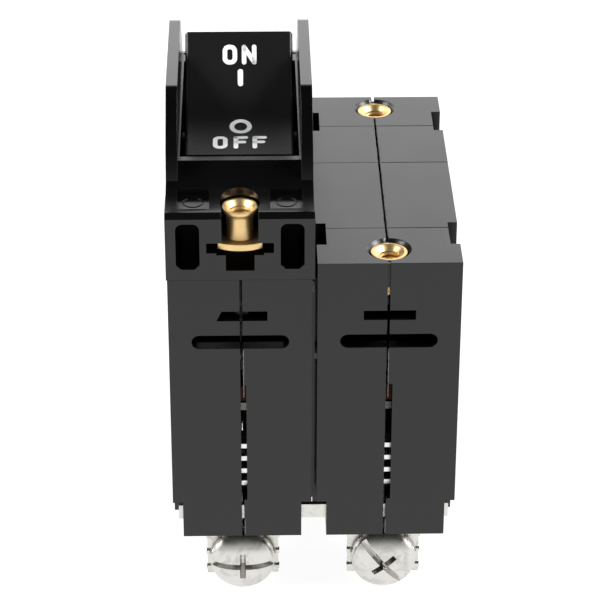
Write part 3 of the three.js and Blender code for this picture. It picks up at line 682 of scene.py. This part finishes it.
def offset_inward(loop, distance):
    """Moves every corner of a closed counter-clockwise outline inward by a distance."""
    count = len(loop)
    moved = []
    for i, point in enumerate(loop):
        here, before, after = Vector(point), Vector(loop[i - 1]), Vector(loop[(i + 1) % count])
        first, second = (here - before).normalized(), (after - here).normalized()
        normal = (Vector((-first.y, first.x)) + Vector((-second.y, second.x))).normalized()
        reach = distance / max(0.4, normal.dot(Vector((-second.y, second.x))))
        moved.append(tuple(here + normal * reach))
    return moved


def loft(name, loops):
    """Joins outlines of equal length, each a list of 3-D points, into one closed body."""
    bm = bmesh.new()
    rings = [[bm.verts.new(point) for point in loop] for loop in loops]
    count = len(rings[0])
    for ring, following in zip(rings, rings[1:]):
        for i in range(count):
            j = (i + 1) % count
            bm.faces.new((ring[i], ring[j], following[j], following[i]))
    bm.faces.new(rings[0][::-1])
    bm.faces.new(rings[-1])
    return from_bmesh(name, bm)


def arc_points(radius, start, sweep, steps):
    """Points along an arc about the origin."""
    return [
        (radius * math.cos(start + sweep * i / steps), radius * math.sin(start + sweep * i / steps))
        for i in range(steps + 1)
    ]


def build_rocker():
    """The outer form is lofted with rounded edges, then hollowed, given its ribs and bored."""
    thickness = 1.7 * MM
    skirt = arc_points(SKIRT_RADIUS, SKIRT_START, -SKIRT_SPAN, 24)
    near_skirt = [(-y, z) for y, z in skirt][::-1]
    outer = FACE + skirt + [(2.2 * MM, -2.4 * MM), (-2.2 * MM, -2.4 * MM)] + near_skirt
    outer = outer[::-1]
    steps = 6
    sections = []
    for i in range(steps + 1):
        turn = math.pi / 2 * i / steps
        inset = ROCKER_EDGE * (1 - math.cos(turn))
        sections.append((ROCKER_HALF_WIDTH - ROCKER_EDGE * (1 - math.sin(turn)), inset))
    loops = []
    for x, inset in [(-x, inset) for x, inset in sections[::-1]] + sections:
        loops.append([(x, y, z) for y, z in offset_inward(outer, inset)])
    piece = loft("rocker_shape", loops)
    inner = arc_points(SKIRT_RADIUS - thickness, SKIRT_START - SKIRT_SPAN, SKIRT_SPAN - math.radians(3), 12)
    ceiling = [(y, z - thickness) for y, z in FACE[12:-12:4]][::-1]
    hollow = inner + ceiling + [(-y, z) for y, z in inner][::-1] + [(-9 * MM, -6 * MM), (9 * MM, -6 * MM)]
    inside = ROCKER_HALF_WIDTH - 1.4 * MM
    cutters = [prism("hollow", hollow, -inside, inside, ACROSS_X)]
    carved(piece, cutters)
    ribs = []
    rib = [(-6, 7.6), (6, 7.6), (6.6, 1), (6.2, -1.2), (4.5, -2), (2, -2.6), (-2, -2.6), (-3, 0)]
    for side in (-1, 1):
        span = sorted((side * 1.3 * MM, side * 2.7 * MM))
        ribs.append(prism("rib", [(y * MM, z * MM) for y, z in rib], span[0], span[1], ACROSS_X))
    carved(piece, ribs, "UNION")
    bores = []
    for y, radius, reach in ((0, 1.3, 10), (4.5, 0.92, 3)):
        circle = [(y * MM + a, b) for a, b in arc_points(radius * MM, 0, 2 * math.pi, 40)[:-1]]
        bores.append(prism("bore", circle, -reach * MM, reach * MM, ACROSS_X))
    carved(piece, bores)
    for vertex in piece.data.vertices:
        vertex.co = from_rocker(*vertex.co)
    finish_piece(piece, "rocker", "rocker", "rocker", angle=28)


# ------------------------------------------------------------------ the printed legend
STROKE = 0.62 * MM


def capsule(a, b, half):
    """A straight stroke with round ends, as one outline."""
    steps = 10
    a, b = Vector(a), Vector(b)
    along = (b - a).normalized()
    start = math.atan2(along.y, along.x)
    points = []
    for centre, first in ((b, start - math.pi / 2), (a, start + math.pi / 2)):
        for i in range(steps + 1):
            angle = first + math.pi * i / steps
            points.append((centre.x + half * math.cos(angle), centre.y + half * math.sin(angle)))
    return points


def rounded_box(half_x, half_y, radius):
    """A rectangle with round corners, as one outline."""
    steps = 8
    points = []
    for sx, sy, first in ((1, 1, 0), (-1, 1, 90), (-1, -1, 180), (1, -1, 270)):
        for i in range(steps + 1):
            angle = math.radians(first + 90 * i / steps)
            points.append((
                sx * (half_x - radius) + radius * math.cos(angle),
                sy * (half_y - radius) + radius * math.sin(angle),
            ))
    return points


def legend_plate(name, outer, holes, centre_x, centre_s):
    """Prints a flat shape on the rocker: x across it, and s along the face from its near edge."""
    curve = bpy.data.curves.new(name, "CURVE")
    curve.dimensions = "2D"
    curve.fill_mode = "BOTH"
    for loop in [outer, *holes]:
        spline = curve.splines.new("POLY")
        spline.points.add(len(loop) - 1)
        for point, (x, y) in zip(spline.points, loop):
            point.co = (x, y, 0, 1)
        spline.use_cyclic_u = True
    holder = bpy.data.objects.new(name + "_flat", curve)
    bpy.context.scene.collection.objects.link(holder)
    graph = bpy.context.evaluated_depsgraph_get()
    mesh = bpy.data.meshes.new_from_object(holder.evaluated_get(graph))
    bpy.data.objects.remove(holder)
    bm = bmesh.new()
    bm.from_mesh(mesh)
    bmesh.ops.remove_doubles(bm, verts=bm.verts, dist=0.001 * MM)
    rows = 26
    low = min(v.co.y for v in bm.verts)
    high = max(v.co.y for v in bm.verts)
    for i in range(1, rows):
        level = low + (high - low) * i / rows
        everything = bm.verts[:] + bm.edges[:] + bm.faces[:]
        bmesh.ops.bisect_plane(bm, geom=everything, plane_co=(0, level, 0), plane_no=(0, 1, 0))
    skin = 0.014 * MM
    grown = bmesh.ops.extrude_face_region(bm, geom=bm.faces[:])
    tops = {v for v in grown["geom"] if isinstance(v, bmesh.types.BMVert)}
    for vertex in bm.verts:
        lift = skin if vertex in tops else -skin
        y, z = on_face(centre_s + vertex.co.y, lift)
        vertex.co = from_rocker(LEGEND_SHIFT + centre_x + vertex.co.x, y, z)
    plate = from_bmesh(name, bm)
    finish_piece(plate, "rocker", "print")


def letter_o(name, x, s, width, height):
    half = STROKE / 2
    outer = rounded_box(width / 2, height / 2, 0.86 * MM)
    inner = rounded_box(width / 2 - 2 * half, height / 2 - 2 * half, 0.3 * MM)
    legend_plate(name, outer, [inner], x, s)


def strokes(name, x, s, lines):
    """A letter of straight round-ended strokes, each printed as its own thin plate."""
    for i, (a, b) in enumerate(lines):
        legend_plate(f"{name}_{i + 1}", capsule(a, b, STROKE / 2), [], x, s)


def letter_n(name, x, s, width, height):
    w, h = (width - STROKE) / 2, (height - STROKE) / 2
    half = STROKE / 2
    left = capsule((-w, -h), (-w, h), half)
    right = capsule((w, -h), (w, h), half)
    slant = capsule((-w, h), (w, -h), half)
    for part, shape in (("left", left), ("right", right), ("slant", slant)):
        legend_plate(f"{name}_{part}", shape, [], x, s)


def letter_f(name, x, s, width, height):
    w, h = (width - STROKE) / 2, (height - STROKE) / 2
    strokes(name, x, s, [
        ((-w, -h), (-w, h)), ((-w, h), (w, h)), ((-w, 0.08 * MM), (w - 0.25 * MM, 0.08 * MM)),
    ])


def print_legend():
    """ON and a bar at the far end of the face, a ring and OFF at the near end."""
    on_s, on_height = FACE_ARC - 3.2 * MM, 2.74 * MM
    off_s, off_height = 2.92 * MM, 2.95 * MM
    letter_o("print_on_o", -1.4 * MM, on_s, 1.96 * MM, on_height)
    letter_n("print_on_n", 1.21 * MM, on_s, 2.0 * MM, on_height)
    letter_o("print_off_o", -2.72 * MM, off_s, 1.97 * MM, off_height)
    letter_f("print_off_f1", 0.02 * MM, off_s, 1.94 * MM, off_height)
    letter_f("print_off_f2", 2.53 * MM, off_s, 1.94 * MM, off_height)
    legend_plate("print_bar", rounded_box(0.36 * MM, 1.2 * MM, 0.35 * MM), [], 0, FACE_ARC - 6.4 * MM)
    turns = arc_points(1, 0, 2 * math.pi, 64)[:-1]
    rings = [[(x * a * MM, y * b * MM) for x, y in turns] for a, b in ((1.5, 1.55), (0.86, 0.9))]
    legend_plate("print_ring", rings[0], rings[1:], 0, 6.66 * MM)


# ------------------------------------------------------------------ threaded inserts
def thread_wobble(low, high, pitch, depth, mouth):
    """A shallow screw thread on the bore between two heights."""
    def wobble(radius, height, turn):
        if radius > mouth or not low < height < high:
            return 0
        phase = (height / pitch + turn / (2 * math.pi)) % 1
        return depth * (2 * abs(phase - 0.5) - 0.5)
    return wobble


def insert_profile(kind):
    """The closed side view of an insert, (radius, height) in mm, with the height down from its mouth."""
    bore = 1.38
    rows = 90
    bottom = {"bezel": -5.2, "case": -5.3}[kind]
    inner = [(bore, -0.72 + (bottom + 0.5 + 0.72) * i / rows) for i in range(rows + 1)]
    mouth = [(2.02, -0.02), (1.96, -0.06), (1.7, -0.33), (1.45, -0.6)]
    if kind == "bezel":
        outer = [
            (1.82, bottom), (1.82, -4.2), (1.9, -4.15), (1.82, -3.9), (1.8, -3.4),
            (1.8, -1.6), (1.84, -1.2), (1.95, -0.9), (2.13, -0.68), (2.27, -0.52),
            (2.34, -0.35), (2.35, -0.12), (2.32, -0.03), (2.24, 0),
        ]
    else:
        outer = [(2.42, bottom), (2.45, bottom + 0.05), (2.45, -0.08), (2.42, -0.02), (2.36, 0)]
    return outer + [(2.1, 0)] + mouth + inner + [(bore, bottom)]


def build_insert(node, kind):
    """A turned brass insert with a coned mouth and a thread; the bezel's kind has a flange."""
    low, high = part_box(node)
    profile = [(r * MM, z * MM) for r, z in insert_profile(kind)]
    wobble = thread_wobble(-4.75 * MM, -0.74 * MM, 0.7 * MM, 0.16 * MM, 1.4 * MM)
    piece = revolved(node + "_shape", profile, 96, wobble)
    piece.location = ((low.x + high.x) / 2, (low.y + high.y) / 2, high.z)
    if kind == "bezel":
        half, depth, bulge = 2.95 * MM, 2.9 * MM, 6.2 * MM
        outline = []
        steps = 20
        for side in (-1, 1):
            for i in range(steps + 1):
                x = side * half * (1 - 2 * i / steps)
                y = side * (math.sqrt(bulge ** 2 - x ** 2) - (bulge - depth))
                outline.append((x, y))
        plate = prism(node + "_flange", outline, -5.2 * MM, -4.25 * MM, UP_Z)
        hole = arc_points(1.5 * MM, 0, 2 * math.pi, 48)[:-1]
        carved(plate, [prism("hole", hole, -6 * MM, -3 * MM, UP_Z)])
        bevelled(plate, 0.09 * MM, 3, 40)
        plate.location = piece.location
        finish_piece(plate, "case", "brass")
    finish_piece(piece, "case", "brass", node, angle=28)


def build_inserts():
    for end in ("near", "far"):
        build_insert(f"bezel_insert_{end}", "bezel")
        build_insert(f"case_insert_{end}", "case")


# ------------------------------------------------------------------ terminals
def build_screw(node, slot_angle):
    """A domed binding head with a slot right across it and a Phillips cross, on a threaded shank."""
    low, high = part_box(node)
    near = low.y < 0
    centre = Vector(((low.x + high.x) / 2, 0, (low.z + high.z) / 2))
    apex, rim = 0.35, 2.42
    head = [(0.0, apex)]
    steps = 22
    for i in range(1, steps + 1):
        angle = math.radians(86) * i / steps
        head.append((4.5 * math.sin(angle), rim - (rim - apex) * math.cos(angle)))
    head += [(4.53, 2.45), (4.55, 2.6), (4.54, 3.02), (4.46, 3.14), (4.3, 3.2), (2.4, 3.2)]
    pitch = 0.794
    shank_rows = 80
    shank = [(2.24, 3.3 + (10.6 - 3.3) * i / shank_rows) for i in range(shank_rows + 1)]
    profile = head + shank + [(1.7, 11.2), (0.0, 11.2)]
    profile = [(r * MM, h * MM) for r, h in profile]

    def thread(radius, height, turn):
        if not (2.1 * MM < radius < 2.3 * MM and 3.6 * MM < height < 10.5 * MM):
            return 0
        phase = (height / (pitch * MM) + turn / (2 * math.pi)) % 1
        return 0.14 * MM * (2 * abs(phase - 0.5) - 0.6)

    piece = revolved(node + "_shape", profile, 96, thread)
    half = 0.42 * MM
    slot = block("slot", (-6 * MM, 6 * MM), (-half, half), (-2 * MM, 1.9 * MM))
    reach, narrow, taper = 2.35, 0.46, 0.42
    cutters = [slot]
    for a, b in ((reach, narrow), (narrow, reach)):
        arm = [(-a, -b), (a, -b), (a, b), (-a, b)]
        bm = bmesh.new()
        top = [bm.verts.new((x * MM, y * MM, -0.2 * MM)) for x, y in arm]
        deep = [bm.verts.new((x * taper * MM, y * taper * MM, 2.9 * MM)) for x, y in arm]
        bm.faces.new(top)
        bm.faces.new(deep[::-1])
        for i in range(4):
            bm.faces.new((top[i], top[(i + 1) % 4], deep[(i + 1) % 4], deep[i]))
        cutters.append(from_bmesh("arm", bm))
    carved(piece, cutters)
    bevelled(piece, 0.05 * MM, 2, 34)
    place = Matrix.Rotation(math.radians(-90), 4, "X") @ Matrix.Rotation(math.radians(slot_angle), 4, "Z")
    if not near:
        place = Matrix.Rotation(math.pi, 4, "Z") @ place
    face = CASE_NEAR if near else CASE_FAR
    piece.data.transform(Matrix.Translation((centre.x, face, centre.z)) @ place)
    finish_piece(piece, node, "tin", node, angle=30)


def build_armature_springs():
    """Fine round-wire torsion springs wound on the armatures' hinge pins."""
    radius, wire, turns, sides = 0.97 * MM, 0.19 * MM, 7, 10
    steps = 20 * turns
    for pole in ("a", "b"):
        node = f"armature_spring_{pole}"
        low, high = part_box(node)
        start, end = low.x + wire, high.x - wire
        centre = Vector(JOINTS[f"armature_{pole}_hinge"]["pos_m"])
        loops = []
        for i in range(steps + 1):
            angle = 2 * math.pi * turns * i / steps
            out = Vector((0, math.cos(angle), math.sin(angle)))
            middle = Vector((start + (end - start) * i / steps, centre.y, centre.z)) + out * radius
            loops.append([
                middle + out * (wire * math.cos(a)) + Vector((wire * math.sin(a), 0, 0))
                for a in (2 * math.pi * k / sides for k in range(sides))
            ])
        finish_piece(loft(node + "_shape", loops), "case", "steel", node, angle=60)


def build_terminals():
    """A screw, a pressure plate and a strap at each end of each pole."""
    for end in ("line", "load"):
        for pole, angle in (("a", 0), ("b", 50)):
            build_screw(f"{end}_screw_{pole}", angle if end == "line" else -angle)
            plate = copy_of(f"{end}_clamp_{pole}")
            bevelled(plate, 0.16 * MM, 3, 26)
            finish_piece(plate, f"{end}_clamp_{pole}", "tin", f"{end}_clamp_{pole}")
            strap = copy_of(f"{end}_terminal_{pole}")
            bevelled(strap, 0.1 * MM, 2)
            finish_piece(strap, "case", "tin", f"{end}_terminal_{pole}")


dress_nodes()
build_cases()
build_tongues()
build_flash()
build_bezel()
build_rocker()
print_legend()
build_inserts()
build_terminals()
build_armature_springs()
